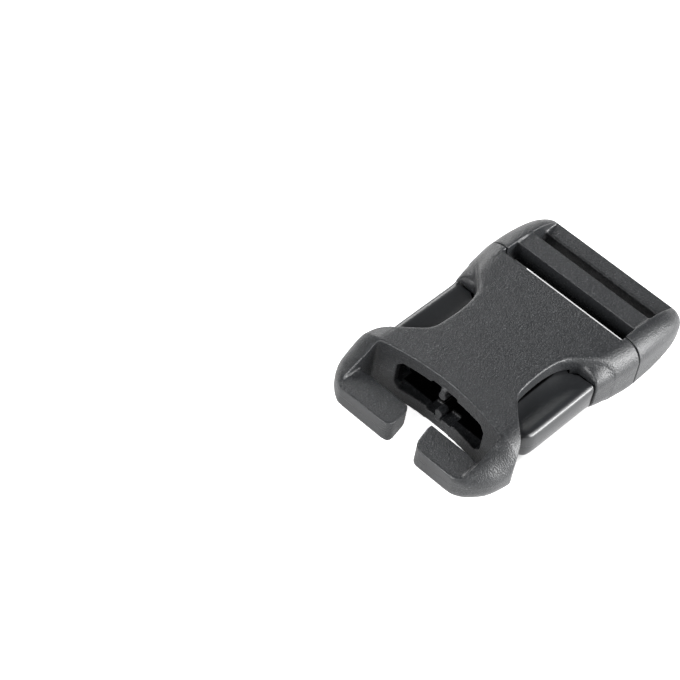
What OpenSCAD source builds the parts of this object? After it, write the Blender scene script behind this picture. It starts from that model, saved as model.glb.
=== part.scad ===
// Side release buckle for 25 mm webbing, fastened.
// X runs across the buckle, Y from the split loop to the adjuster bars, Z up.
// Both mouldings mirror about their parting plane at half height, and about X = 0 but for the
// split, which leans to the right towards the front.

/* [Overall] */
// Length over both mouldings
body_l = 57.4; // [57:0.1:58]
// Width over the parting line of the housing
body_w = 35.6; // [35:0.1:37]
// Height over the two flat panels
body_h = 11.8; // [11.4:0.1:12.4]
// Radius of the long outer edges
edge_r = 4.8; // [4.2:0.1:4.9]
// Radius of the outer edges where the two mouldings meet
joint_edge_r = 3.9; // [3.7:0.1:4.2]

/* [Split loop] */
// Width of the split between the two prongs
split_w = 4.9; // [3:0.1:6]
// How far the split leans to the right over the depth of a prong
split_lean = 1.3; // [0:0.1:2]
// Depth of a prong, front to back
prong_d = 5.9; // [5:0.1:6.5]
// Height of a prong
prong_h = 3.7; // [3:0.1:4.2]
// Width of the opening between the two loop arms
loop_w = 27; // [26:0.2:27.4]
// Front of the panel where it meets an arm
panel_front = 9.6; // [9:0.1:10]
// How far the panel's front edge swells back in the middle
panel_swell = 2; // [1:0.1:2.4]

/* [Housing] */
// Back edge of the housing in the middle
housing_back = 41.1; // [40:0.1:41.4]
// How much further back the housing reaches beside the adjuster
housing_horn = 1; // [0.6:0.1:1.2]
// Width of the panel at the waist
waist_w = 18.6; // [17:0.2:20]
// Thickness of each flat panel
panel_t = 2.8; // [2.4:0.1:2.9]
// Front of the side window
window_front = 14; // [13.8:0.1:14.6]
// Back of the side window
window_back = 32.5; // [32.4:0.1:33.2]
// Width of the mouth that takes the latch
mouth_w = 29.8; // [29.4:0.1:30.2]
// Width of the hole in the front wall
hole_w = 19.2; // [17:0.2:20]
// Height of the hole in the front wall
hole_h = 6.2; // [5.4:0.2:6.2]
// Thickness of the two guide ribs
rib_t = 1.6; // [1.2:0.1:2]
// Gap between the upper and the lower guide rib
rib_gap = 2.8; // [2.6:0.1:3.2]

/* [Latch] */
// Width of the two webbing slots
slot_w = 26.4; // [25.4:0.2:26.6]
// Front of the middle bar
middle_bar = 45.2; // [44.8:0.1:45.6]
// Depth of the middle bar, front to back
middle_bar_d = 3.9; // [3.4:0.1:4.2]
// Height of the middle bar
middle_bar_h = 4.3; // [3:0.1:4.4]
// Front of the end bar
end_bar = 53.4; // [53:0.1:53.8]
// Height of the end bar
end_bar_h = 4.8; // [4:0.1:5.2]
// Width over the two release pads
pad_w = 32.1; // [31.6:0.1:33]
// Height of a release pad
pad_h = 5.4; // [5:0.1:5.6]
// Thickness of the centre tongue
tongue_t = 1.8; // [1.6:0.1:2]
// Width of the centre tongue
tongue_w = 5; // [4:0.5:6]
// Gap between the two mouldings
fit = 0.3; // [0.2:0.05:0.4]

/* [Hidden] */
$fn = 48;
mid_z = body_h / 2;
half_w = body_w / 2;
cavity_h = body_h - 2 * panel_t;
wall_t = 1.4;
neck_w = 1.8;
far = 60;

// The housing's cross sections before it is cut, front to back: place along Y, half width,
// half height, edge radius, and how far the middle lies below the parting plane
housing_back_end = housing_back + housing_horn;
housing_sections = [
    [0, half_w - 5.4, 1.6, 0.7, 0],
    [0.2, half_w - 4.8, 1.9, 0.9, 0],
    [0.8, half_w - 3.8, 2.3, 1.7, 0.2],
    [1.6, half_w - 2.8, 2.65, 2.3, 0.4],
    [2.8, half_w - 1.75, 3.1, 2.8, 0.5],
    [4.8, half_w - 0.65, 3.8, 3.7, 0.5],
    [7.2, half_w - 0.1, 4.7, 4.5, 0.4],
    [panel_front, half_w, mid_z - 0.1, edge_r, 0],
    [panel_front + 1.6, half_w, mid_z, edge_r, 0],
    [panel_front + 12, half_w - 0.8, mid_z, edge_r, 0]
];
mouth_sections = [
    [panel_front + 8, half_w - 3.8, mid_z, edge_r, 0],
    [housing_back_end, half_w - 0.45, mid_z, joint_edge_r, 0]
];

// The shoulders, which step down from the panel behind each window, in the same terms
shoulder_sections = [
    [window_back, half_w - 1.8, 4.2, 2.8, 0],
    [window_back + 1.6, half_w - 1.5, 4.9, 3.3, 0],
    [window_back + 6.4, half_w - 0.75, mid_z - 0.05, joint_edge_r + 0.2, 0]
];

// The adjuster frame's cross sections, in the same terms
adjuster_front = housing_back_end + 0.7 * fit;
adjuster_sections = [
    [adjuster_front, half_w - 0.45, mid_z - 0.05, joint_edge_r, 0],
    [middle_bar + 1, half_w - 0.5, mid_z - 0.15, joint_edge_r, 0],
    [middle_bar + 4, half_w - 0.65, mid_z - 0.5, joint_edge_r - 0.1, 0],
    [end_bar - 2, half_w - 0.85, mid_z - 0.95, joint_edge_r - 0.3, 0],
    [end_bar + 0.4, half_w - 1.2, mid_z - 1.75, joint_edge_r - 0.7, 0],
    [body_l - 1.4, half_w - 2, mid_z - 2.8, joint_edge_r - 1.3, 0],
    [body_l - 0.5, half_w - 3, mid_z - 3.7, joint_edge_r - 2, 0],
    [body_l, half_w - 4.4, mid_z - 4.5, joint_edge_r - 2.8, 0]
];

// One side of the panel's waist, from the loop arm to the shoulder
waist_half = waist_w / 2;
waist_side = spline([
    [half_w + 0.1, panel_front - 5], [half_w + 0.1, panel_front - 1.8], [half_w - 0.6, panel_front + 0.5],
    [half_w - 1.75, panel_front + 2.4], [half_w - 3.6, panel_front + 4], [half_w - 6.2, panel_front + 6.6],
    [waist_half + 0.4, panel_front + 9], [waist_half - 0.1, panel_front + 12.4],
    [waist_half - 0.1, panel_front + 17], [waist_half + 0.7, window_back - 2.3],
    [waist_half + 3.3, window_back + 0.9], [waist_half + 6.1, window_back + 3.5], [half_w + 0.9, window_back + 4.6]
], 4);

// Points of a smooth curve through the given points, with n steps between two of them
function spline(p, n) = concat([for (i = [0:len(p) - 2], k = [0:n - 1])
    let (a = p[max(i - 1, 0)], b = p[i], c = p[i + 1], d = p[min(i + 2, len(p) - 1)], t = k / n)
    0.5 * (2 * b + (c - a) * t + (2 * a - 5 * b + 4 * c - d) * t * t + (3 * b - a - 3 * c + d) * t * t * t)],
    [p[len(p) - 1]]);

// Points of a rectangle w by h about the origin, with corners of radius r
function rounded(w, h, r, n = 6) = [for (q = [0:3], k = [0:n])
    let (a = 90 * q + 90 * k / n, sx = q == 0 || q == 3 ? 1 : -1, sy = q < 2 ? 1 : -1)
    [sx * (w / 2 - r) + r * cos(a), sy * (h / 2 - r) + r * sin(a)]];

// Front edge of the panel at a distance x from the middle
function panel_edge(x) = panel_front + panel_swell * (1 - pow(abs(x) / (loop_w / 2), 2));

// Extrudes an X-Z outline about half height, from y0 to y1
module along_y(y0, y1) {
    translate([0, y1, mid_z]) rotate([90, 0, 0]) linear_extrude(y1 - y0) children();
}

// Extrudes a Y-Z outline right across the buckle
module along_x() {
    translate([-far / 2, 0, 0]) rotate([90, 0, 90]) linear_extrude(far) children();
}

module both_sides() {
    children();
    mirror([1, 0, 0]) children();
}

module above_and_below() {
    children();
    translate([0, 0, body_h]) mirror([0, 0, 1]) children();
}

// A convex body through a list of cross sections
module loft(sections) {
    slice = 0.02;
    last = sections[len(sections) - 1];
    hull() for (s = sections)
        along_y(s == last ? s[0] - slice : s[0], s == last ? s[0] : s[0] + slice)
            translate([0, -s[4]]) polygon(rounded(2 * s[1], 2 * s[2], s[3]));
}

// Everything outside one side of the waist
module waist_cut() {
    translate([0, 0, -1]) linear_extrude(body_h + 2)
        polygon(concat(waist_side, [[far, waist_side[len(waist_side) - 1][1]], [far, waist_side[0][1]]]));
}

// The opening between the loop arms, down to the split between the prongs
module loop_cut() {
    steps = 12;
    edge = [for (i = [0:steps]) let (x = loop_w * (0.5 - i / steps)) [x, panel_edge(x)]];
    linear_extrude(body_h) polygon(concat([[-loop_w / 2, -1], [loop_w / 2, -1]], edge));
}

// The end of one prong seen from above: how far it lies from the split, and its place along Y
nose_points = [[1.6, 0], [0.7, 0.25], [0.2, 0.8], [0, 1.6], [0, prong_d - 0.5], [0.4, prong_d]];

// The nose of the prong on one side of the split, for side = -1 or 1
function nose(side) = spline([for (p = nose_points)
    [side * (split_w / 2 + p[0]) + split_lean * (1 - p[1] / prong_d), p[1]]], 3);

// The split bar: two prongs that meet the webbing, from the same outer shape
module prongs() {
    intersection() {
        loft(housing_sections);
        for (side = [-1, 1])
            linear_extrude(body_h) polygon(concat(nose(side), [[side * half_w, prong_d], [side * half_w, -0.2]]));
        along_x() translate([prong_d / 2, mid_z]) polygon(rounded(prong_d, prong_h, 0.4, 3));
        translate([-loop_w / 2 - 1, -1, 0]) cube([loop_w + 2, prong_d + 2, body_h]);
    }
}

// The hollow that the latch slides into, open at the back and at both side windows, with a
// lower channel for the arms behind each window
module cavity() {
    inner = loop_w / 2 - 0.9;
    steps = 8;
    front = [for (i = [0:steps]) let (x = inner * (1 - 2 * i / steps)) [x, panel_edge(x) + wall_t]];
    half_mouth = mouth_w / 2;
    mouth_front = housing_back - 4.8;
    core = waist_half + 1.4;
    channel_h = pad_h - 1.2;
    translate([0, 0, panel_t]) linear_extrude(cavity_h) polygon(concat(
        [[-inner, window_front], [-far / 2, window_front], [-far / 2, window_back], [-core, window_back],
         [-core, mouth_front], [-half_mouth, mouth_front], [-half_mouth, far], [half_mouth, far],
         [half_mouth, mouth_front], [core, mouth_front], [core, window_back], [far / 2, window_back],
         [far / 2, window_front], [inner, window_front]], front));
    translate([fit - half_mouth, window_back - 1, mid_z - channel_h / 2])
        cube([mouth_w - 2 * fit, mouth_front - window_back + 2, channel_h]);
}

module front_hole() {
    bevel = 1;
    w = hole_w / 2;
    h = hole_h / 2;
    along_y(panel_front - 1, window_front) {
        polygon([[w, h - bevel], [w - bevel, h], [bevel - w, h], [-w, h - bevel],
                 [-w, bevel - h], [bevel - w, -h], [w - bevel, -h], [w, bevel - h]]);
        square([tongue_w + 0.6, hole_h + 1], center = true);
    }
}

// Guide ribs under and over the tongue, from the front wall to the mouth
module ribs() {
    rib_h = (cavity_h - rib_gap) / 2 + 0.5;
    above_and_below() translate([-rib_t / 2, panel_front + 1.4, panel_t - 0.5])
        cube([rib_t, window_back - panel_front - 1.4, rib_h]);
}

module socket_body() {
    color([0.17, 0.18, 0.19]) translate([0, -body_l / 2, 0]) {
        difference() {
            union() {
                difference() {
                    union() {
                        loft(housing_sections);
                        loft(mouth_sections);
                    }
                    both_sides() waist_cut();
                }
                loft(shoulder_sections);
            }
            loop_cut();
            cavity();
            front_hole();
            translate([-loop_w / 2 + 0.2, housing_back, 0]) cube([loop_w - 0.4, 5, body_h]);
        }
        prongs();
        ribs();
    }
}

// Outline of both pads seen from the front: the outer faces bulge between two ridges
function pad_face() = let (h = pad_h / 2, w = pad_w / 2)
    [for (side = [1, -1], k = [-4:4]) let (a = 90 * k / 4)
        [side * (w - 1 + cos(a)), side * h * sin(a)]];

// One release pad: dished above and below, with a bulging outer face
module pad() {
    front = window_front + fit;
    back = window_back - 0.8;
    half_pad = pad_w / 2;
    ridge_x = half_pad - 0.85;
    inner_x = waist_half - 1.4;
    dish_r = 5.5;
    difference() {
        intersection() {
            linear_extrude(body_h) polygon(concat(
                [[inner_x, back], [inner_x, front + 2]],
                spline([[inner_x + 1, front], [ridge_x - 1.4, front], [ridge_x + 0.5, front + 1.6],
                        [half_pad - 0.05, front + 4], [half_pad, (front + back) / 2], [half_pad - 0.1, back - 1],
                        [ridge_x + 0.2, back]], 4)));
            along_x() translate([(front + back) / 2, mid_z]) polygon(rounded(back - front, pad_h, 1.4, 5));
            along_y(front, back) polygon(pad_face());
        }
        above_and_below() translate([(ridge_x + inner_x) / 2 + 0.4, back + 1, mid_z + pad_h / 2 + dish_r - 0.8])
            rotate([90, 0, 0]) cylinder(r = dish_r, h = back - front + 2);
    }
}

// One springy arm from the base to its pad
module arm() {
    arm_h = pad_h - 1.8;
    outer = mouth_w / 2 - fit;
    translate([0, 0, mid_z - arm_h / 2]) linear_extrude(arm_h)
        polygon([[outer - 2.4, housing_back - 3], [outer - 0.4, housing_back - 3], [outer - 0.6, window_back - 2],
                 [outer - 2.8, window_back - 3]]);
}

// The block in the mouth that carries the arms and the tongue
module base() {
    base_h = cavity_h - 2 * fit;
    half_base = mouth_w / 2 - fit;
    translate([0, 0, mid_z - base_h / 2]) linear_extrude(base_h)
        polygon([[-half_base, adjuster_front + 1], [-half_base, housing_back - 4.5], [half_base, housing_back - 4.5],
                 [half_base, adjuster_front + 1]]);
}

module tongue() {
    tip = panel_front + 12.4;
    translate([0, 0, mid_z - tongue_t / 2]) linear_extrude(tongue_t)
        polygon([[-tongue_w / 2, housing_back - 3], [-tongue_w / 2, tip + 1.5], [-tongue_w / 2 + 1.2, tip],
                 [tongue_w / 2 - 1.2, tip], [tongue_w / 2, tip + 1.5], [tongue_w / 2, housing_back - 3]]);
}

// A webbing slot right through the adjuster, from y0 to y1
module slot(y0, y1, w = slot_w) {
    translate([-w / 2, y0, -1]) cube([w, y1 - y0, body_h + 2]);
}

// The adjuster: two cheeks that fall towards the back, a middle bar and a lower end bar
module adjuster() {
    bar_front = middle_bar + middle_bar_d;
    bar_top = body_h - 0.6;
    difference() {
        union() {
            loft(adjuster_sections);
            base();
        }
        slot(housing_back - 0.5, adjuster_front, slot_w - 2 * neck_w);
        slot(adjuster_front - 0.2, middle_bar);
        slot(bar_front, end_bar);
        translate([-slot_w / 2, middle_bar - 1, -1]) cube([slot_w, middle_bar_d + 2, bar_top - middle_bar_h + 1]);
        translate([-slot_w / 2, middle_bar - 1, bar_top]) cube([slot_w, middle_bar_d + 2, 2]);
        above_and_below() translate([-slot_w / 2, end_bar - 1, mid_z + end_bar_h / 2])
            cube([slot_w, body_l, body_h]);
    }
}

module latch_body() {
    color([0.14, 0.15, 0.16]) translate([0, -body_l / 2, 0]) {
        adjuster();
        tongue();
        both_sides() {
            arm();
            pad();
        }
    }
}

socket_body();
latch_body();
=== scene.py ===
"""Dresses a fastened side release buckle for 25 mm webbing.

The frame holds two mouldings, the housing and the latch. Each is modelled again here with
soft moulded edges, scooped shoulders and grained plastic, and replaces its plain solid.

Shapes are worked in millimetres on the moulder's own axes: X across the buckle, Y from the
front of the split loop to the back of the end bar, Z up from the table. The last step of
each build turns a shape into metres in the frame's own place.
"""

from __future__ import annotations

import logging
import math
from collections.abc import Callable, Sequence
from dataclasses import astuple, dataclass
from enum import Enum

import bmesh
import bpy
from mathutils import Matrix, Vector

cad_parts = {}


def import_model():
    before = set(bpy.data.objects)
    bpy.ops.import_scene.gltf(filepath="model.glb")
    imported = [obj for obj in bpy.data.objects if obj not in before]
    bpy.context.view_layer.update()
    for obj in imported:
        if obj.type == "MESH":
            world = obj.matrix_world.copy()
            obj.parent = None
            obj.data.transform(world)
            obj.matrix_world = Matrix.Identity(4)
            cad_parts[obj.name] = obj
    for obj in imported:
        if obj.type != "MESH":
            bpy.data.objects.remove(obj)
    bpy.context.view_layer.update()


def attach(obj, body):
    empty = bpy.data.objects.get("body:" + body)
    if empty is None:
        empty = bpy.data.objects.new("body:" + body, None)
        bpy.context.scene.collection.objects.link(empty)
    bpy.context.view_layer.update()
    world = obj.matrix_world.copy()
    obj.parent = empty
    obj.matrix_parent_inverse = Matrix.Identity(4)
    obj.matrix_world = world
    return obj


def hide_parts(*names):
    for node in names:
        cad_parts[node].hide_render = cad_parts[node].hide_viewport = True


LOG = logging.getLogger("buckle")

MM = 0.001
BODY_LENGTH = 57.4
PARTING = 5.9
BODY_HEIGHT = 11.8
# Heights under and over the whole buckle, between which a body cuts right through it.
UNDER, OVER = -1.0, BODY_HEIGHT + 1.0
# How far one pass of smoothing moves a point towards the middle of its neighbours.
HALFWAY = 0.5
WHITE = (1.0, 1.0, 1.0, 1.0)

Piece = bpy.types.Object
Socket = bpy.types.NodeSocket
Point = tuple[float, float]
Triple = tuple[float, float, float]
Colour = tuple[float, float, float, float]


class Axis(Enum):
    """The three axes that an outline is extruded along."""

    X = 0
    Y = 1
    Z = 2


class Joining(Enum):
    """How one body changes another."""

    ADD = "UNION"
    REMOVE = "DIFFERENCE"
    KEEP_SHARED = "INTERSECT"


class Mirror(Enum):
    """The two planes of symmetry of both mouldings."""

    SIDES = (-1.0, 1.0, 1.0)
    HALVES = (1.0, 1.0, -1.0)


class Bench:
    """The modelling moves that every piece is made with."""

    @staticmethod
    def clear() -> None:
        """Leaves edit mode and deselects everything."""
        if bpy.context.object and bpy.context.object.mode != "OBJECT":
            bpy.ops.object.mode_set(mode="OBJECT")
        bpy.ops.object.select_all(action="DESELECT")

    @staticmethod
    def take(piece: Piece) -> None:
        """Selects one piece alone and makes it the active one.

        Args:
            piece: the piece.
        """
        Bench.clear()
        piece.select_set(True)
        bpy.context.view_layer.objects.active = piece

    @staticmethod
    def ring(points: Sequence[Sequence[float]], filled: bool) -> Piece:
        """Adds a circle and lays its points on a given closed outline.

        Args:
            points: the outline's points in order, in space.
            filled: whether the ring carries a face.

        Returns:
            The new ring.
        """
        Bench.clear()
        fill = "NGON" if filled else "NOTHING"
        bpy.ops.mesh.primitive_circle_add(vertices=len(points), radius=1.0, fill_type=fill)
        made = bpy.context.object
        for vertex, point in zip(made.data.vertices, points):
            vertex.co = point
        return made

    @staticmethod
    def closed() -> Piece:
        """Turns the faces of the body in edit mode outwards, and leaves that mode.

        Returns:
            The body.
        """
        bpy.ops.mesh.select_all(action="SELECT")
        bpy.ops.mesh.normals_make_consistent(inside=False)
        bpy.ops.object.mode_set(mode="OBJECT")
        return bpy.context.object

    @staticmethod
    def extruded(outline: Sequence[Point], axis: Axis, low: float, high: float) -> Piece:
        """Extrudes a flat outline along an axis.

        Args:
            outline: the outline's points, in the order of the two other axes.
            axis: the axis to extrude along.
            low: where the body starts on that axis.
            high: where it ends.

        Returns:
            The closed body.
        """
        points = []
        for first, second in outline:
            point = [first, second]
            point.insert(axis.value, low)
            points.append(point)
        made = Bench.ring(points, filled=True)
        step = [0.0, 0.0, 0.0]
        step[axis.value] = high - low
        bpy.ops.object.mode_set(mode="EDIT")
        bpy.ops.mesh.select_all(action="SELECT")
        bpy.ops.mesh.extrude_region_move(TRANSFORM_OT_translate={"value": step})
        return Bench.closed()

    @staticmethod
    def lofted(rings: Sequence[Sequence[Sequence[float]]]) -> Piece:
        """Bridges rings of equal point counts into one closed body.

        Args:
            rings: the rings' points, ring by ring.

        Returns:
            The closed body.
        """
        made = [Bench.ring(points, filled=False) for points in rings]
        Bench.take(made[0])
        for other in made[1:]:
            other.select_set(True)
        bpy.ops.object.join()
        bpy.ops.object.mode_set(mode="EDIT")
        bpy.ops.mesh.select_all(action="SELECT")
        bpy.ops.mesh.bridge_edge_loops()
        bpy.ops.mesh.select_all(action="SELECT")
        bpy.ops.mesh.fill_holes(sides=0)
        return Bench.closed()

    @staticmethod
    def join(piece: Piece, tool: Piece, how: Joining) -> None:
        """Adds, removes or intersects one body with another, and uses the other up.

        Args:
            piece: the body that is changed.
            tool: the body that it meets.
            how: what becomes of the two.
        """
        Bench.take(piece)
        cut = piece.modifiers.new(how.name, "BOOLEAN")
        cut.operation = how.value
        cut.solver = "MANIFOLD"
        cut.object = tool
        bpy.ops.object.modifier_apply(modifier=cut.name)
        bpy.data.objects.remove(tool)

    @staticmethod
    def copy(piece: Piece) -> Piece:
        """Copies a piece with a mesh of its own.

        Args:
            piece: the piece to copy.

        Returns:
            The copy.
        """
        Bench.take(piece)
        bpy.ops.object.duplicate()
        return bpy.context.object

    @staticmethod
    def join_mirrored(piece: Piece, tool: Piece, how: Joining, plane: Mirror) -> None:
        """Uses a tool and its mirrored copy on a piece.

        Args:
            piece: the body that is changed.
            tool: the body that it meets on one side.
            how: what becomes of them.
            plane: the plane that the tool is mirrored in.
        """
        Bench.copy(tool)
        bpy.ops.object.mode_set(mode="EDIT")
        bpy.ops.mesh.select_all(action="SELECT")
        bpy.ops.transform.resize(value=plane.value, center_override=(0.0, 0.0, PARTING))
        for made in (tool, Bench.closed()):
            Bench.join(piece, made, how)

    @staticmethod
    def skin(piece: Piece, cell: float, passes: int) -> None:
        """Gives a body one even skin and softens all its edges.

        Args:
            piece: the body.
            cell: the skin's cell size, in millimetres.
            passes: how often the skin is smoothed.
        """
        Bench.take(piece)
        remesh = piece.modifiers.new("skin", "REMESH")
        remesh.mode = "VOXEL"
        remesh.voxel_size = cell
        bpy.ops.object.modifier_apply(modifier=remesh.name)
        smooth = piece.modifiers.new("soft", "SMOOTH")
        smooth.factor = HALFWAY
        smooth.iterations = passes
        bpy.ops.object.modifier_apply(modifier=smooth.name)

    @staticmethod
    def relax(piece: Piece, where: Callable[[Vector], bool], repeat: int) -> None:
        """Rounds the part of a skin that lies in a given place.

        Args:
            piece: the body.
            where: tells whether a point of the skin lies there.
            repeat: how often that part is smoothed.
        """
        Bench.take(piece)
        bpy.ops.object.mode_set(mode="EDIT")
        bpy.ops.mesh.select_mode(type="VERT")
        bpy.ops.mesh.select_all(action="DESELECT")
        grid = bmesh.from_edit_mesh(piece.data)
        for vertex in grid.verts:
            vertex.select_set(where(vertex.co))
        grid.select_flush_mode()
        bmesh.update_edit_mesh(piece.data)
        bpy.ops.mesh.vertices_smooth(factor=HALFWAY, repeat=repeat)
        bpy.ops.object.mode_set(mode="OBJECT")

    @staticmethod
    def finish(piece: Piece, name: str, most_faces: int) -> None:
        """Thins a skin, shades it smooth and sets it in the frame's place, in metres.

        Args:
            piece: the body.
            name: its name from here on.
            most_faces: the most triangles that it may have.
        """
        Bench.take(piece)
        triangles = sum(len(face.vertices) - 2 for face in piece.data.polygons)
        if triangles > most_faces:
            thin = piece.modifiers.new("thin", "DECIMATE")
            thin.ratio = most_faces / triangles
            bpy.ops.object.modifier_apply(modifier=thin.name)
        bpy.ops.object.shade_smooth()
        piece.name = name
        piece.data.name = name
        piece.location = (0.0, -BODY_LENGTH / 2 * MM, 0.0)
        piece.scale = (MM, MM, MM)
        bpy.ops.object.transform_apply(location=True, rotation=True, scale=True)


def curve_through(points: Sequence[Sequence[float]], steps: int) -> list[tuple[float, ...]]:
    """Runs a smooth curve through points of any number of values.

    Args:
        points: the points that the curve passes.
        steps: how many points replace each span.

    Returns:
        The curve's points, both ends included.
    """
    made = []
    last = len(points) - 1
    for index in range(last):
        before, start = points[max(index - 1, 0)], points[index]
        end, after = points[index + 1], points[min(index + 2, last)]
        for step in range(steps):
            t = step / steps
            made.append(
                tuple(
                    0.5
                    * (
                        2 * b
                        + (c - a) * t
                        + (2 * a - 5 * b + 4 * c - d) * t * t
                        + (3 * b - a - 3 * c + d) * t * t * t
                    )
                    for a, b, c, d in zip(before, start, end, after)
                )
            )
    made.append(tuple(points[last]))
    return made


def rounded_rectangle(width: float, height: float, radius: float, steps: int) -> list[Point]:
    """Lists the points of a rectangle with round corners about the origin.

    Args:
        width: the whole width.
        height: the whole height.
        radius: the corner radius.
        steps: how many spans each corner has.

    Returns:
        The outline, counterclockwise.
    """
    made = []
    for quarter in range(4):
        side = 1 if quarter in (0, 3) else -1
        upward = 1 if quarter < 2 else -1
        for step in range(steps + 1):
            angle = math.pi / 2 * (quarter + step / steps)
            made.append(
                (
                    side * (width / 2 - radius) + radius * math.cos(angle),
                    upward * (height / 2 - radius) + radius * math.sin(angle),
                )
            )
    return made


def oblong(half: float, start: float, end: float) -> list[Point]:
    """Lists the corners of a rectangle that lies evenly across the middle.

    Args:
        half: half its width.
        start: where it starts on the other axis.
        end: where it ends there.

    Returns:
        The outline, counterclockwise.
    """
    return [(-half, start), (half, start), (half, end), (-half, end)]


@dataclass(frozen=True)
class Section:
    """One cross section of a moulding, seen from the front.

    Attributes:
        place: where it lies along the buckle.
        half_width: half its width.
        half_height: half its height.
        edge: the radius of its long edges.
        drop: how far its middle lies below the parting plane.
    """

    place: float
    half_width: float
    half_height: float
    edge: float
    drop: float = 0.0

    def ring(self) -> list[Triple]:
        """Gives the section's outline in space.

        Returns:
            The points of the outline.
        """
        least_flat = 0.02
        edge = min(self.edge, self.half_height - least_flat)
        flat = rounded_rectangle(2 * self.half_width, 2 * self.half_height, edge, steps=18)
        return [(x, self.place, z + PARTING - self.drop) for x, z in flat]


def smooth_body(sections: Sequence[Section], steps: int) -> Piece:
    """Lofts a body through sections along a smooth curve.

    Args:
        sections: the sections, front to back.
        steps: how many rings replace each span.

    Returns:
        The closed body.
    """
    eased = curve_through([astuple(section) for section in sections], steps)
    return Bench.lofted([Section(*values).ring() for values in eased])


@dataclass
class Moulding:
    """What the buckle's two mouldings have in common.

    Attributes:
        half_width: half the buckle's width.
        window_front: where the housing's side windows start.
        window_back: where they end.
        panel_back: where its panels end.
        cell: the size of the skin's cells.
    """

    half_width: float = 17.8
    window_front: float = 14.0
    window_back: float = 32.5
    panel_back: float = 41.1
    cell: float = 0.16

    def finished(self, form: Piece, name: str, most_faces: int) -> Piece:
        """Gives a modelled moulding its soft skin and its place.

        Args:
            form: the moulding.
            name: its name.
            most_faces: the most triangles that it may have.

        Returns:
            The finished piece.
        """
        Bench.skin(form, self.cell, passes=4)
        self.soften(form)
        Bench.finish(form, name, most_faces)
        return form

    def soften(self, form: Piece) -> None:
        """Rounds what a moulding has that is rounder than its other edges; a plain moulding has
        nothing of that, so here it does nothing.
        """

    @staticmethod
    def dress(made: Piece, finish: GrainedPlastic, node: str, slot: str) -> None:
        """Gives a modelled piece its finish and ties it to the frame.

        Args:
            made: the piece.
            finish: what it is made of.
            node: the plain solid that it replaces.
            slot: the slot that its material stands in; not used.
        """
        made.data.materials.clear()
        made.data.materials.append(finish.material())
        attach(made, "root")
        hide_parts(node)


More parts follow.
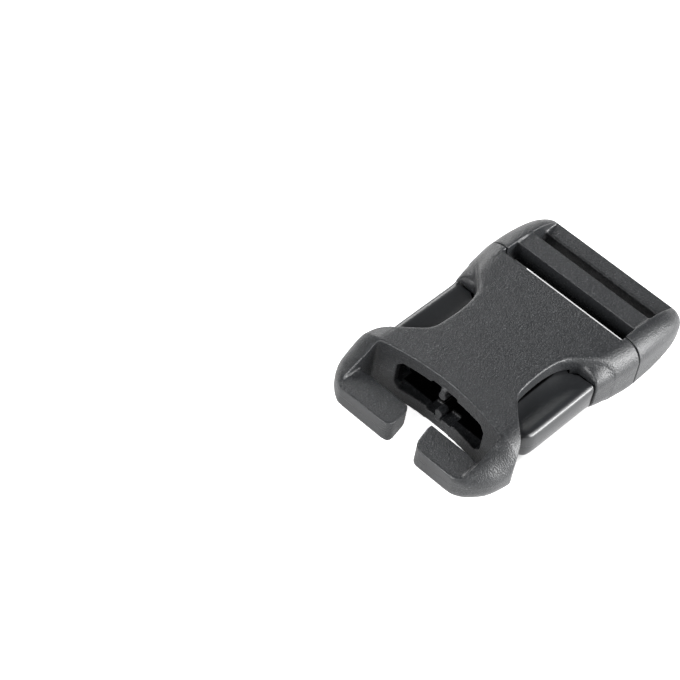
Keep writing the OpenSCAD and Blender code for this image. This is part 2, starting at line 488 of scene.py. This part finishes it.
@dataclass
class Housing(Moulding):
    """The moulding with the flat panels, the split loop and the mouth for the latch.

    Attributes:
        edge: the radius of its long edges.
        joint_edge: that radius at the mouth.
        loop_width: how wide the loop is open.
        loop_corner: the radius of its back corners.
        panel_front: where the panels start at the loop's corners.
        panel_swell: how much farther back they start in the middle.
        horn: how far the mouth's corners reach past them.
        waist: half the width of the panels at the waist.
        panel: how thick each panel is.
        mouth_half: half the width of the mouth.
        channel: the height of the channel from the windows to the mouth.
        hole_half: half the width of the hole in the front wall.
        hole_bevel: how much of its corners is cut off.
        notch_half: half the width of the notches in its edges.
        notch_rise: how deep they are.
        wall: the thickness of the front wall.
        split: the gap between the two prongs.
        split_lean: how far it leans to the right at the front.
        prong_depth: how deep the prongs are from front to back.
        prong_height: how high they are.
        prong_keel: how much farther down they reach.
        rib_half: half the width of a guide rib's tip.
        rib_gap: the gap between the two ribs.
    """

    edge: float = 4.8
    joint_edge: float = 3.9
    loop_width: float = 27.0
    loop_corner: float = 0.9
    panel_front: float = 9.6
    panel_swell: float = 2.0
    horn: float = 1.0
    waist: float = 9.3
    panel: float = 2.8
    mouth_half: float = 14.9
    channel: float = 4.2
    hole_half: float = 9.6
    hole_bevel: float = 1.0
    notch_half: float = 2.8
    notch_rise: float = 0.5
    wall: float = 1.4
    split: float = 4.9
    split_lean: float = 1.3
    prong_depth: float = 5.9
    prong_height: float = 3.7
    prong_keel: float = 0.7
    rib_half: float = 0.8
    rib_gap: float = 2.8

    def outer_form(self) -> Piece:
        """Makes the outer form from the loop arms' noses to the mouth, before any cut.

        Returns:
            The form.
        """
        w, edge, full = self.half_width, self.edge, BODY_HEIGHT / 2
        end = self.panel_back + self.horn
        front = smooth_body(
            [
                Section(0.0, w - 5.4, 1.95, 0.7, 0.1),
                Section(0.2, w - 4.8, 2.2, 0.9, 0.2),
                Section(0.8, w - 3.8, 2.5, 1.6, 0.35),
                Section(1.6, w - 2.8, 2.75, 2.2, 0.45),
                Section(2.8, w - 1.75, 3.1, 2.8, 0.5),
                Section(4.8, w - 0.65, 3.8, 3.6, 0.5),
                Section(7.2, w - 0.1, 4.75, 4.5, 0.35),
                Section(self.panel_front, w, full - 0.12, edge),
                Section(self.panel_front + 1.8, w, full, edge),
                Section(self.panel_front + 12.0, w - 0.8, full, edge),
            ],
            steps=5,
        )
        mouth = smooth_body(
            [
                Section(self.panel_front + 8.0, w - 3.8, full, edge),
                Section(self.panel_back - 3.8, w - 0.95, full, self.joint_edge + 0.2),
                Section(end, w - 0.45, full, self.joint_edge),
            ],
            steps=3,
        )
        Bench.join(front, mouth, Joining.ADD)
        return front

    def panel_edge(self, x: float) -> float:
        """Gives the place of the panel's front edge at a distance x from the middle."""
        return self.panel_front + self.panel_swell * (1 - (abs(x) / (self.loop_width / 2)) ** 2)

    def waist_tool(self) -> Piece:
        """Makes the body that hollows the waist on one side, seen from above.

        Returns:
            The cutting body.
        """
        w, front, back, waist = self.half_width, self.panel_front, self.window_back, self.waist
        side = curve_through(
            [
                (w + 0.2, front - 5.0),
                (w + 0.2, front - 1.8),
                (w - 0.6, front + 0.5),
                (w - 1.75, front + 2.4),
                (w - 3.6, front + 4.0),
                (w - 6.2, front + 6.6),
                (waist + 0.4, front + 9.0),
                (waist - 0.1, front + 12.4),
                (waist - 0.1, front + 17.0),
                (waist + 0.7, back - 2.3),
                (waist + 3.3, back + 0.9),
                (waist + 6.1, back + 3.5),
                (w + 0.9, back + 4.6),
            ],
            steps=8,
        )
        far = 2 * w
        outline = side + [(far, side[-1][1]), (far, side[0][1])]
        return Bench.extruded(outline, Axis.Z, UNDER, OVER)

    def shoulders(self) -> Piece:
        """Makes the pair of shoulders that steps down from the panels behind the windows.

        Returns:
            The body to add.
        """
        w, edge, start = self.half_width, self.joint_edge, self.window_back
        return smooth_body(
            [
                Section(start, w - 1.8, 4.2, 2.8),
                Section(start + 1.6, w - 1.5, 4.85, 3.3),
                Section(start + 3.2, w - 1.23, 5.15, 3.6),
                Section(start + 4.8, w - 1.0, 5.45, 3.9),
                Section(start + 6.4, w - 0.75, BODY_HEIGHT / 2 - 0.05, edge + 0.2),
            ],
            steps=5,
        )

    def loop_tool(self) -> Piece:
        """Makes the body that opens the loop between the arms.

        Returns:
            The cutting body.
        """
        half, corner = self.loop_width / 2, self.loop_corner
        inner = half - corner
        places = [inner * (1 - step / 12) for step in range(25)]
        edge = [(x, self.panel_edge(x)) for x in places]
        first = edge[0][1]
        right = [
            (inner + corner * math.cos(a), first - corner + corner * math.sin(a))
            for a in (0.0, 0.4, 0.8, 1.2)
        ]
        left = [(-x, y) for x, y in reversed(right)]
        outline = [(-half, -1.0), (half, -1.0), *right, *edge, *left]
        return Bench.extruded(outline, Axis.Z, UNDER, OVER)

    def cavity_tool(self) -> Piece:
        """Makes the hollow that the latch slides into, open at the back and both windows.

        Returns:
            The cutting body.
        """
        far, mouth, play = 2 * self.half_width, self.mouth_half, 0.3
        inner = self.loop_width / 2 - self.loop_corner
        front, back, deep = self.window_front, self.window_back, self.panel_back - 4.8
        core = self.waist + 1.4
        places = [inner * (1 - step / 4) for step in range(9)]
        edge = [(x, self.panel_edge(x) + self.wall) for x in places]
        right = [
            (core, back - 2.6),
            (core + 0.6, back - 1.6),
            (core + 1.8, back - 0.5),
            (core + 3.4, back),
            (far, back),
            (far, front),
            (inner, front),
        ]
        mouth_side = [(mouth, BODY_LENGTH), (mouth, deep), (core, deep)]
        left = [(-x, y) for x, y in reversed([*mouth_side, *right])]
        outline = [*left, *mouth_side, *right, *edge]
        low, high = self.panel, BODY_HEIGHT - self.panel
        hollow = Bench.extruded(outline, Axis.Z, low, high)
        rise = self.channel / 2
        lane = oblong(mouth - play, back - 1, deep + 1)
        channel = Bench.extruded(lane, Axis.Z, PARTING - rise, PARTING + rise)
        Bench.join(hollow, channel, Joining.ADD)
        return hollow

    def hole_tool(self) -> Piece:
        """Makes the wide bevelled hole in the front wall.

        Returns:
            The cutting body.
        """
        w, h, bevel = self.hole_half, BODY_HEIGHT / 2 - self.panel, self.hole_bevel
        flat = [(w, h - bevel), (w - bevel, h), (bevel - w, h), (-w, h - bevel)]
        flat += [(-x, -z) for x, z in flat]
        outline = [(x, z + PARTING) for x, z in flat]
        front, back = self.panel_front - 1.0, self.window_front + 0.5
        hole = Bench.extruded(outline, Axis.Y, front, back)
        tall = h + self.notch_rise
        notch = oblong(self.notch_half, PARTING - tall, PARTING + tall)
        Bench.join(hole, Bench.extruded(notch, Axis.Y, front, back), Joining.ADD)
        return hole

    def rib(self) -> Piece:
        """Makes the upper guide rib, a neck with a round tip that hangs from the panel.

        Returns:
            The rib.
        """
        bulb, neck = self.rib_half, self.rib_half - 0.25
        centre = PARTING + self.rib_gap / 2 + bulb
        root = BODY_HEIGHT - self.panel + 0.8
        turn = [math.radians(-230 + 10 * step) for step in range(29)]
        tip = [(bulb * math.cos(a), centre + bulb * math.sin(a)) for a in turn]
        outline = [(-neck, root), *tip, (neck, root)]
        return Bench.extruded(outline, Axis.Y, self.panel_front + 1.6, self.window_back)

    def prong(self, side: int) -> Piece:
        """Makes one prong of the split bar, inside the outer form.

        The split leans to the right towards the front, so the two prongs differ.

        Args:
            side: -1 for the left prong and 1 for the right one.

        Returns:
            The prong.
        """
        half, depth = self.split / 2, self.prong_depth
        nose = [(2.3, 0.0), (1.2, 0.2), (0.5, 0.65), (0.1, 1.4), (0.0, 2.3)]
        nose += [(0.0, depth - 0.6), (0.5, depth)]
        end = curve_through(
            [(side * (half + gap) + self.split_lean * (1 - y / depth), y) for gap, y in nose],
            steps=6,
        )
        outer = side * (self.loop_width / 2 + 1.0)
        made = Bench.extruded([*end, (outer, depth), (outer, -0.2)], Axis.Z, 0.0, BODY_HEIGHT)
        rise = self.prong_height / 2
        low = -rise - self.prong_keel
        profile = [(-0.1, rise + 0.1), (depth, rise - 0.2), (depth, low), (0.7, low)]
        profile += [(0.2, low + 0.3), (-0.1, low + 0.9)]
        far = 20.0
        bar = Bench.extruded([(y, z + PARTING) for y, z in profile], Axis.X, -far, far)
        Bench.join(made, bar, Joining.KEEP_SHARED)
        return made

    def build(self) -> Piece:
        """Models the whole housing.

        Returns:
            The finished piece, in the frame's place.
        """
        form = self.outer_form()
        whole = Bench.copy(form)
        Bench.join_mirrored(form, self.waist_tool(), Joining.REMOVE, Mirror.SIDES)
        Bench.join(form, self.shoulders(), Joining.ADD)
        inside_horns, past_horns = self.loop_width / 2 - 0.2, 50.0
        notch = oblong(inside_horns, self.panel_back, past_horns)
        for tool in (self.loop_tool, self.cavity_tool, self.hole_tool):
            Bench.join(form, tool(), Joining.REMOVE)
        Bench.join(form, Bench.extruded(notch, Axis.Z, UNDER, OVER), Joining.REMOVE)
        Bench.join_mirrored(form, self.rib(), Joining.ADD, Mirror.HALVES)
        for side in (-1, 1):
            prong = self.prong(side)
            Bench.join(prong, Bench.copy(whole), Joining.KEEP_SHARED)
            Bench.join(form, prong, Joining.ADD)
        bpy.data.objects.remove(whole)
        return self.finished(form, "housing", most_faces=180000)

    def soften(self, form: Piece) -> None:
        """Rounds the scoops of the shoulders, the waist's edges and the loop's roots.

        Args:
            form: the skinned housing.
        """
        w, back = self.half_width, self.window_back

        def scoop(p: Vector) -> bool:
            """Tells whether a point lies in a shoulder's scoop."""
            high = abs(p.z - PARTING)
            return 9.5 < abs(p.x) < w - 0.9 and back - 2.6 < p.y < back + 7.0 and high > 3.3

        def waist_edge(p: Vector) -> bool:
            """Tells whether a point lies along a waist's upper or lower edge."""
            high = abs(p.z - PARTING)
            return self.waist - 1.2 < abs(p.x) and self.panel_front + 4 < p.y < back and high > 4.6

        def root(p: Vector) -> bool:
            """Tells whether a point lies where a prong grows out of its arm."""
            inside = self.loop_width / 2 - 2.0 < abs(p.x) < self.loop_width / 2 + 0.3
            return inside and p.y < self.prong_depth + 0.4 and abs(p.z - PARTING) > 1.2

        Bench.relax(form, scoop, repeat=40)
        Bench.relax(form, waist_edge, repeat=6)
        Bench.relax(form, root, repeat=14)


@dataclass
class Latch(Moulding):
    """The moulding with the release pads, the tongue and the webbing adjuster.

    Attributes:
        edge: the radius of its long edges.
        front: where the cheeks start, a hair behind the housing.
        slot_half: half the width of the webbing slots.
        neck: how much narrower the first slot starts.
        bar_front: where the middle bar starts.
        bar_depth: how deep it is from front to back.
        bar_height: how high it is.
        end_front: where the end bar starts.
        end_height: how high it is.
        pad_half: how far the release pads reach out from the middle.
        pad_height: how high they are.
        mouth_half: half the width of the block in the housing's mouth.
        cavity: the height of the housing's hollow.
        tongue_half: half the width of the centre tongue.
        tongue_height: its height.
        fit: the play between the two mouldings.
    """

    edge: float = 3.9
    front: float = 42.31
    slot_half: float = 13.2
    neck: float = 1.8
    bar_front: float = 45.2
    bar_depth: float = 3.9
    bar_height: float = 4.3
    end_front: float = 53.4
    end_height: float = 4.8
    pad_half: float = 16.05
    pad_height: float = 5.8
    mouth_half: float = 14.6
    cavity: float = 6.2
    tongue_half: float = 2.5
    tongue_height: float = 1.8
    fit: float = 0.3

    def adjuster(self) -> Piece:
        """Makes the domed frame with its two webbing slots and its two bars.

        Returns:
            The frame.
        """
        w, edge, full, end = self.half_width, self.edge, BODY_HEIGHT / 2, self.end_front
        form = smooth_body(
            [
                Section(self.front, w - 0.45, full - 0.05, edge),
                Section(self.bar_front + 1, w - 0.5, full - 0.15, edge),
                Section(self.bar_front + 4, w - 0.65, full - 0.5, edge - 0.1),
                Section(end - 2, w - 0.85, full - 0.95, edge - 0.3),
                Section(end + 0.4, w - 1.2, full - 1.75, edge - 0.7),
                Section(BODY_LENGTH - 1.4, w - 2.0, full - 2.8, edge - 1.3),
                Section(BODY_LENGTH - 0.5, w - 3.0, full - 3.7, edge - 2.0),
                Section(BODY_LENGTH, w - 4.4, full - 4.5, edge - 2.8),
            ],
            steps=5,
        )
        block_depth, height = 4.5, self.cavity / 2 - self.fit
        block = oblong(self.mouth_half, self.panel_back - block_depth, self.front + 1)
        base = Bench.extruded(block, Axis.Z, PARTING - height, PARTING + height)
        Bench.join(form, base, Joining.ADD)
        bar_back, rise, half = self.bar_front + self.bar_depth, self.end_height / 2, self.slot_half
        top = BODY_HEIGHT - 0.6
        bottom = top - self.bar_height
        for width, start, end, low, high in (
            (half - self.neck, self.panel_back - 0.5, self.front, UNDER, OVER),
            (half, self.front - 0.2, self.bar_front, UNDER, OVER),
            (half, bar_back, self.end_front, UNDER, OVER),
            (half, self.bar_front - 1, bar_back + 1, UNDER, bottom),
            (half, self.bar_front - 1, bar_back + 1, top, OVER),
            (half, self.end_front - 1, BODY_LENGTH + 1, PARTING + rise, OVER),
            (half, self.end_front - 1, BODY_LENGTH + 1, UNDER, PARTING - rise),
        ):
            opening = Bench.extruded(oblong(width, start, end), Axis.Z, low, high)
            Bench.join(form, opening, Joining.REMOVE)
        return form

    def pad(self) -> Piece:
        """Makes one release pad, dished above and below, with a bulging outer face.

        Returns:
            The pad.
        """
        front, back = self.window_front + self.fit, self.window_back - 0.45
        half, inner = self.pad_half, 7.7
        ridge = half - 0.85
        side = curve_through(
            [
                (inner + 1, front),
                (ridge - 1.4, front),
                (ridge + 0.5, front + 1.6),
                (half - 0.05, front + 4),
                (half, (front + back) / 2),
                (half - 0.1, back - 1),
                (ridge + 0.2, back),
            ],
            steps=6,
        )
        heel = [(inner + 4.4, back), (inner + 3.7, back - 0.45), (inner + 3.0, back - 0.9)]
        heel += [(inner + 2.4, back - 0.6), (inner, back - 0.6)]
        made = Bench.extruded([*heel, (inner, front + 2), *side], Axis.Z, 0.0, BODY_HEIGHT)
        past, front_corner, far = 1.2, 1.4, 20.0
        profile = rounded_rectangle(back + past - front, self.pad_height, front_corner, steps=6)
        length = [(y + (front + back + past) / 2, z + PARTING) for y, z in profile]
        Bench.join(made, Bench.extruded(length, Axis.X, 0.0, far), Joining.KEEP_SHARED)
        face = [(0.0, -self.pad_height / 2), (half - 1, -self.pad_height / 2)]
        for step in range(-7, 8):
            angle = math.pi / 2 * step / 8
            face.append((half - 1 + math.cos(angle), self.pad_height / 2 * math.sin(angle)))
        face += [(half - 1, self.pad_height / 2), (0.0, self.pad_height / 2)]
        width = [(x, z + PARTING) for x, z in face]
        Bench.join(made, Bench.extruded(width, Axis.Y, front - 1, back + 1), Joining.KEEP_SHARED)
        dish, spans = 22.0, 240
        turns = [math.tau * step / spans for step in range(spans)]
        rings = []
        for place, depth in ((front - 1, 0.5), (back + 1, 0.3)):
            height = PARTING + self.pad_height / 2 + dish - depth
            centre = ridge - math.sqrt(dish**2 - (dish - depth) ** 2)
            rings.append(
                [(centre + dish * math.cos(a), place, height + dish * math.sin(a)) for a in turns]
            )
        tool = Bench.lofted(rings)
        Bench.join_mirrored(made, tool, Joining.REMOVE, Mirror.HALVES)
        return made

    def arm(self) -> Piece:
        """Makes one springy arm from the block in the mouth to its pad.

        Returns:
            The arm.
        """
        half, outer = self.pad_height / 2 - 0.9, self.mouth_half
        start, end = self.panel_back - 3, self.window_back - 2
        outline = [(outer - 2.4, start), (outer - 0.4, start)]
        outline += [(outer - 0.6, end), (outer - 2.8, end - 1)]
        return Bench.extruded(outline, Axis.Z, PARTING - half, PARTING + half)

    def tongue(self) -> Piece:
        """Makes the flat tongue that runs between the guide ribs.

        Returns:
            The tongue.
        """
        half, tip, root = self.tongue_half, self.window_front + 8.0, self.panel_back - 3
        chamfer, lead = 1.2, 1.5
        outline = [(-half, root), (-half, tip + lead), (-half + chamfer, tip)]
        outline += [(half - chamfer, tip), (half, tip + lead), (half, root)]
        rise = self.tongue_height / 2
        return Bench.extruded(outline, Axis.Z, PARTING - rise, PARTING + rise)

    def build(self) -> Piece:
        """Models the whole latch.

        Returns:
            The finished piece, in the frame's place.
        """
        form = self.adjuster()
        Bench.join(form, self.tongue(), Joining.ADD)
        Bench.join_mirrored(form, self.arm(), Joining.ADD, Mirror.SIDES)
        Bench.join_mirrored(form, self.pad(), Joining.ADD, Mirror.SIDES)
        return self.finished(form, "latch", most_faces=150000)

    def soften(self, form: Piece) -> None:
        """Rounds the release pads and the front edges of the end bar.

        Args:
            form: the skinned latch.
        """

        def pads(p: Vector) -> bool:
            """Tells whether a point lies on a release pad."""
            return abs(p.x) > 11.6 and p.y < self.window_back - 0.8

        def bar_edge(p: Vector) -> bool:
            """Tells whether a point lies on a front edge of the end bar."""
            near = self.end_front - 0.3 < p.y < self.end_front + 1.1
            return near and abs(p.x) < self.slot_half and abs(p.z - PARTING) > 1.2

        Bench.relax(form, pads, repeat=90)
        Bench.relax(form, bar_edge, repeat=20)


class Nodes:
    """A short way to lay out the nodes of one material."""

    def __init__(self, name: str) -> None:
        """Starts a material with an empty node tree.

        Args:
            name: the material's name.
        """
        self.material = bpy.data.materials.new(name)
        self.material.use_nodes = True
        self.tree = self.material.node_tree
        self.tree.nodes.clear()

    def put(self, socket: Socket, value: object) -> None:
        """Links a socket to another one, or gives it a value.

        Args:
            socket: the socket.
            value: the other socket, or the value.
        """
        if isinstance(value, Socket):
            self.tree.links.new(value, socket)
        else:
            socket.default_value = value

    def add(self, kind: str, **settings: object) -> bpy.types.Node:
        """Adds a node and sets its properties and its sockets.

        Args:
            kind: the node's type.
            settings: properties, or what goes into a socket, under the socket's name with
                underscores for spaces.

        Returns:
            The node.
        """
        node = self.tree.nodes.new(kind)
        for key, value in settings.items():
            if hasattr(node, key):
                setattr(node, key, value)
            else:
                self.put(node.inputs[key.replace("_", " ")], value)
        return node

    def work(self, kind: str, operation: str, *operands: object) -> bpy.types.Node:
        """Adds a node that works something out from its first sockets.

        Args:
            kind: the node's type.
            operation: what it does.
            operands: what goes into its sockets, in order.

        Returns:
            The node.
        """
        node = self.add(kind, operation=operation)
        for socket, operand in zip(node.inputs, operands):
            self.put(socket, operand)
        return node

    def math(self, operation: str, *operands: object) -> Socket:
        """Works out a number, from an operation and what goes into it."""
        return self.work("ShaderNodeMath", operation, *operands).outputs["Value"]

    def mapped(
        self,
        value: Socket,
        start: float = 0.0,
        end: float = 1.0,
        low: float | Socket = 0.0,
        high: float | Socket = 1.0,
    ) -> Socket:
        """Maps a value between start and end onto the range from low to high."""
        ends = {"From_Min": start, "From_Max": end, "To_Min": low, "To_Max": high}
        return self.add("ShaderNodeMapRange", Value=value, **ends).outputs["Result"]

    def mix(self, kind: str, share: object, first: object, second: object) -> Socket:
        """Blends two numbers or colours, with a given share of the second."""
        node = self.add("ShaderNodeMix", data_type=kind, Factor=share, A=first, B=second)
        return node.outputs["Result"]

    def outside_box(self, place: Socket, middle: Triple, half: Triple) -> Socket:
        """Measures how far a point lies outside a box.

        Args:
            place: the point.
            middle: the middle of the box.
            half: half its width, length and height.

        Returns:
            The distance, and 0 inside.
        """
        kind = "ShaderNodeVectorMath"
        for step in (("SUBTRACT", middle), ("ABSOLUTE",), ("SUBTRACT", half), ("MAXIMUM",)):
            place = self.work(kind, step[0], place, *step[1:]).outputs["Vector"]
        return self.work(kind, "LENGTH", place).outputs["Value"]

    def surface(self, shader: bpy.types.Node) -> bpy.types.Material:
        """Makes a shader the material's surface, and gives the finished material."""
        self.add("ShaderNodeOutputMaterial", Surface=shader.outputs["BSDF"])
        return self.material


@dataclass(frozen=True)
class GrainedPlastic:
    """Spark-grained charcoal acetal, as the mould leaves it, with painted glints among its grain
    and painted shade in the core behind the housing's front wall.

    Attributes:
        name: the material's name.
        colour: its colour between the grains.
        lighter: its colour on the grain's tops.
        speck_and_glint: the colour of the few brightest grains, partly their own lighter tone and
            partly painted glints.
        stops: the heights of the grain, from 0 to 1, that have these three colours.
        roughness: how dull it is.
        unevenness: how much that varies from place to place.
        grain_mm: the size of the grain.
        relief_mm: how high the grain stands.
        patch_mm: the size of the places that differ in dullness.
        specular: how strongly it mirrors.
        polished_to_mm: the place along the buckle up to which it is polished.
        polished_roughness: how dull it is there.
        polished_colour: its colour there.
        polished_cover: how much of the grain's colour that hides.
        polished_relief: how much of the grain's height is left there.
        painted_shade_middle_mm: the middle of the painted shade in the core behind the front wall.
        painted_shade_half_mm: half that painted shade's width, length and height.
        painted_shade_colour: the near-black colour painted there as shade.
        painted_shade_specular: how strongly it mirrors there, turned down as part of the painted
            shade.
        fade_mm: how wide the edge of the polish is, and that of the painted shade.
        seam_mm: half the width of the parting line.
        seam_rise: its height, as a share of that.
    """

    name: str
    colour: Colour = (0.0085, 0.0092, 0.0102, 1.0)
    lighter: Colour = (0.0215, 0.0228, 0.0248, 1.0)
    speck_and_glint: Colour = (0.09, 0.093, 0.095, 1.0)
    stops: Triple = (0.38, 0.66, 0.76)
    roughness: float = 0.38
    unevenness: float = 0.06
    grain_mm: float = 0.27
    relief_mm: float = 0.1
    patch_mm: float = 6.0
    specular: float = 0.5
    polished_to_mm: float = 0.0
    polished_roughness: float = 0.31
    polished_colour: Colour = (0.0125, 0.0133, 0.0145, 1.0)
    polished_cover: float = 0.85
    polished_relief: float = 0.12
    painted_shade_middle_mm: Triple = (0.0, 25.6, 5.9)
    painted_shade_half_mm: Triple = (9.2, 12.4, 3.3)
    painted_shade_colour: Colour = (0.0006, 0.0006, 0.0006, 1.0)
    painted_shade_specular: float = 0.03
    fade_mm: tuple[float, float] = (0.2, 0.25)
    seam_mm: float = 0.07
    seam_rise: float = 0.6

    def material(self) -> bpy.types.Material:
        """Makes the material.

        Returns:
            The new material.
        """
        make = Nodes(self.name)
        place = make.add("ShaderNodeTexCoord").outputs["Object"]
        axes = make.add("ShaderNodeSeparateXYZ", Vector=place).outputs
        grain, patches = (
            make.add("ShaderNodeTexNoise", Scale=1 / (size * MM), Detail=detail, Vector=place)
            for size, detail in ((self.grain_mm, 3.0), (self.patch_mm, 2.0))
        )
        # The brightest grains get a much lighter speck: partly grain tone, partly painted glints.
        tone = make.add("ShaderNodeValToRGB", Fac=grain.outputs["Fac"])
        tone.color_ramp.elements.new(self.stops[1])
        stops = zip(self.stops, (self.colour, self.lighter, self.speck_and_glint))
        for element, (position, colour) in zip(tone.color_ramp.elements, stops):
            element.position, element.color = position, colour
        polish_end = (self.polished_to_mm - BODY_LENGTH / 2) * MM
        polish_fade, painted_shade_fade = (width * MM for width in self.fade_mm)
        polished = make.mapped(axes["Y"], polish_end + polish_fade, polish_end)
        # Painted shade: inside this box behind the front wall, the colour is painted near black
        # and the mirroring is turned down, standing in for the shade that falls in the core.
        side, along, up = self.painted_shade_middle_mm
        middle = (side * MM, (along - BODY_LENGTH / 2) * MM, up * MM)
        half = tuple(size * MM for size in self.painted_shade_half_mm)
        core = make.mapped(make.outside_box(place, middle, half), painted_shade_fade, 0.0)
        bump = make.add(
            "ShaderNodeBump",
            Distance=self.relief_mm * MM,
            Strength=make.mapped(polished, low=1.0, high=self.polished_relief),
            Height=grain.outputs["Fac"],
        )
        off_seam = make.math("ABSOLUTE", make.math("SUBTRACT", axes["Z"], PARTING * MM))
        seam = make.add(
            "ShaderNodeBump",
            Strength=1.0,
            Distance=self.seam_rise * self.seam_mm * MM,
            Height=make.mapped(off_seam, 0.0, self.seam_mm * MM),
            Normal=bump.outputs["Normal"],
        )
        least, most = self.roughness - self.unevenness, self.roughness + self.unevenness
        dull = make.mapped(patches.outputs["Fac"], low=least, high=most)
        cover = make.math("MULTIPLY", polished, self.polished_cover)
        even = make.mix("RGBA", cover, tone.outputs["Color"], self.polished_colour)
        # The base colour and mirroring below carry the painted shade of the core.
        shader = make.add(
            "ShaderNodeBsdfPrincipled",
            Base_Color=make.mix("RGBA", core, even, self.painted_shade_colour),
            Roughness=make.mix("FLOAT", polished, dull, self.polished_roughness),
            Specular_IOR_Level=make.mapped(core, low=self.specular, high=self.painted_shade_specular),
            Normal=seam.outputs["Normal"],
        )
        return make.surface(shader)


@dataclass(frozen=True)
class PhotoView:
    """Where the photograph was taken from.

    Attributes:
        aim_mm: the point of the table in the middle of the picture.
        turn_deg: how far the camera stands round from the front.
        height_deg: its height above the horizon.
        roll_deg: its turn about its own line of sight.
        away_mm: its distance from the aim.
        lens_mm: its focal length.
        sensor_mm: the width of its sensor.
        reach: the least and the greatest distance that it shows, in metres.
    """

    aim_mm: Triple = (-23.736, -15.566, 0.0)
    turn_deg: float = 35.57
    height_deg: float = 48.166
    roll_deg: float = 10.63
    away_mm: float = 418.835
    lens_mm: float = 129.706
    sensor_mm: float = 36.0
    reach: tuple[float, float] = (0.01, 10.0)

    def place(self) -> None:
        """Sets up the scene's camera."""
        angles = (self.turn_deg, self.height_deg, self.roll_deg)
        turn, height, roll = (math.radians(angle) for angle in angles)
        flat = math.cos(height)
        back = Vector((math.sin(turn) * flat, -math.cos(turn) * flat, math.sin(height)))
        level = Vector((math.cos(turn), math.sin(turn), 0.0))
        upright = back.cross(level)
        rightward = math.cos(roll) * level + math.sin(roll) * upright
        upward = back.cross(rightward)
        lens = bpy.data.cameras.new("photo_camera")
        lens.lens = self.lens_mm
        lens.sensor_width = self.sensor_mm
        lens.clip_start, lens.clip_end = self.reach
        camera = bpy.data.objects.new("photo_camera", lens)
        bpy.context.scene.collection.objects.link(camera)
        turned = Matrix((rightward, upward, back)).transposed().to_4x4()
        where = (Vector(self.aim_mm) + self.away_mm * back) * MM
        camera.matrix_world = Matrix.Translation(where) @ turned
        bpy.context.scene.camera = camera


@dataclass(frozen=True)
class SoftBox:
    """One flat studio light.

    Attributes:
        name: its name.
        place: where it stands, in metres.
        size: its width and height, in metres.
        power: its power, in watts.
    """

    name: str
    place: Triple
    size: tuple[float, float]
    power: float

    def hang(self) -> None:
        """Adds the light, turned to the buckle."""
        lamp = bpy.data.lights.new(self.name, "AREA")
        lamp.shape = "RECTANGLE"
        lamp.size, lamp.size_y = self.size
        lamp.energy = self.power
        box = bpy.data.objects.new(self.name, lamp)
        bpy.context.scene.collection.objects.link(box)
        box.location = self.place
        box.rotation_euler = Vector(self.place).to_track_quat("Z", "Y").to_euler()


@dataclass
class Studio:
    """The white table, the lights and the surround, with sizes in metres.

    Attributes:
        table_half: half the table's width.
        tone: how white it is.
        roughness: how dull it is.
        glow: how bright it shines on the buckle.
        shown_glow: how bright it shines in the picture.
        shade_centre: the middle of the dim patch under the buckle.
        shade_half: half that patch's width and length.
        shade_edge: how soft its edge is.
        shade_tone: how white the table is in the patch.
        surround: how bright the room is.
    """

    table_half: float = 2.0
    tone: float = 0.85
    roughness: float = 0.9
    glow: float = 0.24
    shown_glow: float = 0.88
    shade_centre: Triple = (0.0, 0.0036, 0.0)
    shade_half: Triple = (0.0125, 0.0162, 0.0)
    shade_edge: float = 0.0035
    shade_tone: float = 0.15
    surround: float = 0.02

    def table(self) -> None:
        """Lays the white table under the buckle."""
        Bench.clear()
        bpy.ops.mesh.primitive_plane_add(size=2 * self.table_half, location=(0.0, 0.0, 0.0))
        floor = bpy.context.object
        floor.name = "table"
        make = Nodes("white_table")
        place = make.add("ShaderNodeTexCoord").outputs["Object"]
        away = make.outside_box(place, self.shade_centre, self.shade_half)
        seen = make.add("ShaderNodeLightPath").outputs["Is Camera Ray"]
        strength = make.mapped(seen, low=self.glow, high=self.shown_glow)
        shader = make.add(
            "ShaderNodeBsdfPrincipled",
            Base_Color=make.mapped(away, 0.0, self.shade_edge, self.shade_tone, self.tone),
            Roughness=self.roughness,
            Emission_Color=WHITE,
            Emission_Strength=make.mapped(away, 0.0, self.shade_edge, high=strength),
        )
        floor.data.materials.append(make.surface(shader))

    def surroundings(self) -> None:
        """Fills the room with plain soft light."""
        world = bpy.data.worlds.new("room")
        bpy.context.scene.world = world
        world.use_nodes = True
        sky = world.node_tree.nodes["Background"].inputs
        sky["Color"].default_value = WHITE
        sky["Strength"].default_value = self.surround

    def light(self) -> None:
        """Hangs the soft boxes."""
        boxes = [
            SoftBox("left_box", (-0.56, 0.34, 0.34), (0.45, 0.3), 3.7),
            SoftBox("low_right_box", (0.62, 0.34, 0.2), (0.5, 0.25), 11.5),
            SoftBox("right_box", (0.46, 0.26, 0.5), (0.4, 0.4), 5.0),
            SoftBox("near_right_box", (0.52, -0.2, 0.46), (0.4, 0.4), 0.8),
            SoftBox("front_box", (-0.1, -0.6, 0.35), (0.5, 0.3), 7.0),
        ]
        for box in boxes:
            box.hang()

    def build(self) -> None:
        """Sets up the whole studio, with plain tones in the picture."""
        self.table()
        self.surroundings()
        self.light()
        bpy.context.scene.view_settings.view_transform = "Standard"


def main() -> None:
    """Builds the buckle and the studio, and reports each piece."""
    logging.basicConfig(level=logging.INFO, format="%(message)s")
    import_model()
    PhotoView().place()
    latch = Latch()
    grained = GrainedPlastic("grained_charcoal")
    polished = GrainedPlastic("grained_charcoal_polished_pads", polished_to_mm=latch.window_back)
    pieces = (
        (Housing(), grained, "socket_body", "housing_plastic"),
        (latch, polished, "latch_body", "latch_plastic"),
    )
    for part, finish, node, slot in pieces:
        made = part.build()
        part.dress(made, finish, node, slot)
        LOG.info("%s: %d faces", made.name, len(made.data.polygons))
    Studio().build()


if __name__ == "__main__":
    main()
